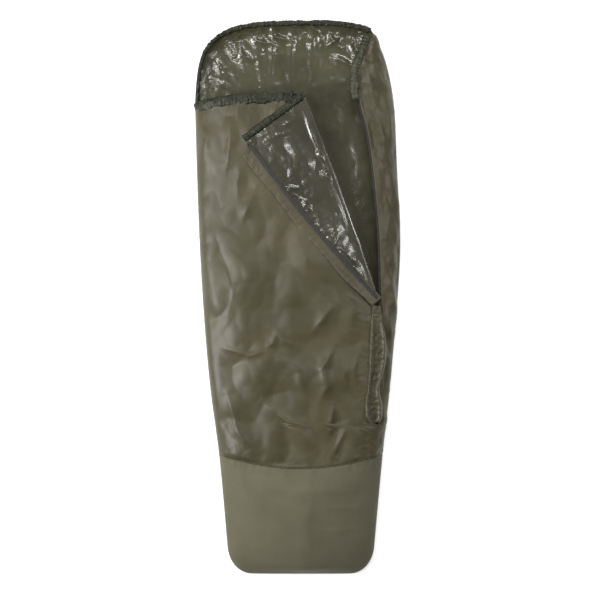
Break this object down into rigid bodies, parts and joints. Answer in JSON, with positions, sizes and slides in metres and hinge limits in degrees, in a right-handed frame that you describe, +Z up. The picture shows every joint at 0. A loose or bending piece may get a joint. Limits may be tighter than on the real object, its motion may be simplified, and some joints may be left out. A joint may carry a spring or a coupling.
{
  "type": "bivy sack",
  "caption": "Waterproof sleeping bag cover lying open: side zip under a storm flap, turned-back corner, gathered drawcord hood and a separate foot section.",
  "frame": {"origin": "on the ground under the middle of the sack", "axes": "+Y runs to the head, +Z up, +X across the sack towards the zip side"},
  "size_m": [0.8368, 2.2486, 0.1344],
  "materials": {
    "outer_cloth": "matte coated ripstop",
    "foot_cloth": "matte, heavier weave",
    "coated_cloth": "glossy coated inside",
    "hem_cloth": "gathered hem cloth",
    "seam_tape": "taped seam",
    "cord": "round braided cord",
    "zip_tape": "woven zip tape",
    "coil": "nylon coil",
    "zip_metal": "dark painted",
    "lock_plastic": "moulded",
    "spring_steel": "wire"
  },
  "bodies": {
    "bag": {"base_sheet": "coated_cloth", "foot_base": "foot_cloth", "foot_top": "foot_cloth", "top_panel": "outer_cloth", "side_panel": "outer_cloth", "hood_wall": "coated_cloth", "side_seam_left": "hem_cloth", "side_seam_right": "hem_cloth", "foot_edge_seam": "foot_cloth", "foot_seam": "hem_cloth", "seam_tape_left": "seam_tape", "seam_tape_right": "seam_tape", "front_hem": "hem_cloth", "hood_hem": "hem_cloth", "side_hem": "hem_cloth", "drawcord_front": "cord", "drawcord_hood": "cord", "drawcord_side": "cord", "zip_tape_right": "zip_tape", "zip_coil_right": "coil", "zip_tape_closed_left": "zip_tape", "zip_tape_closed_right": "zip_tape", "zip_coil_closed_left": "coil", "zip_coil_closed_right": "coil", "zip_bottom_stop": "zip_metal", "zip_top_stop_right": "zip_metal", "lock_cord_end": "cord"},
    "flap": {"flap_panel": "coated_cloth", "flap_hem": "hem_cloth", "drawcord_flap": "cord", "zip_tape_flap": "zip_tape", "zip_coil_flap": "coil", "storm_flap_upper": "outer_cloth", "zip_top_stop_flap": "zip_metal"},
    "storm_flap": {"storm_flap_lower": "outer_cloth"},
    "slider": {"slider_body": "zip_metal"},
    "pull": {"pull_tab": "zip_metal"},
    "lock": {"lock_barrel": "lock_plastic", "lock_spring": "spring_steel"},
    "plunger": {"lock_plunger": "lock_plastic"}
  },
  "joints": [
    {"name": "flap_fold", "type": "hinge", "parent": "bag", "child": "flap", "pos_m": [0.326, -0.014, 0.08531], "axis": [-0.3396, 0.9397, 0.0395], "range_deg": [0, 166]},
    {"name": "storm_flap_lift", "type": "hinge", "parent": "bag", "child": "storm_flap", "pos_m": [0.301, -0.062, 0.09122], "axis": [-0.0629, -0.9979, -0.0174], "range_deg": [0, 120]},
    {"name": "slider_travel", "type": "slide", "parent": "bag", "child": "slider", "axis": [-0.0369, -0.9989, -0.0288], "range_m": [0, 0.42]},
    {"name": "pull_swing", "type": "hinge", "parent": "slider", "child": "pull", "pos_m": [0.32837, -0.04372, 0.06849], "axis": [0.9302, -0.0238, -0.3664], "range_deg": [-60, 60]},
    {"name": "lock_slide", "type": "slide", "parent": "bag", "child": "lock", "axis": [-1, 0, 0], "range_m": [0, 0.02]},
    {"name": "lock_press", "type": "slide", "parent": "lock", "child": "plunger", "axis": [0, -1, 0], "range_m": [0, 0.0036], "stiffness_N_per_m": 800, "deforming": ["lock_spring"]}
  ]
}
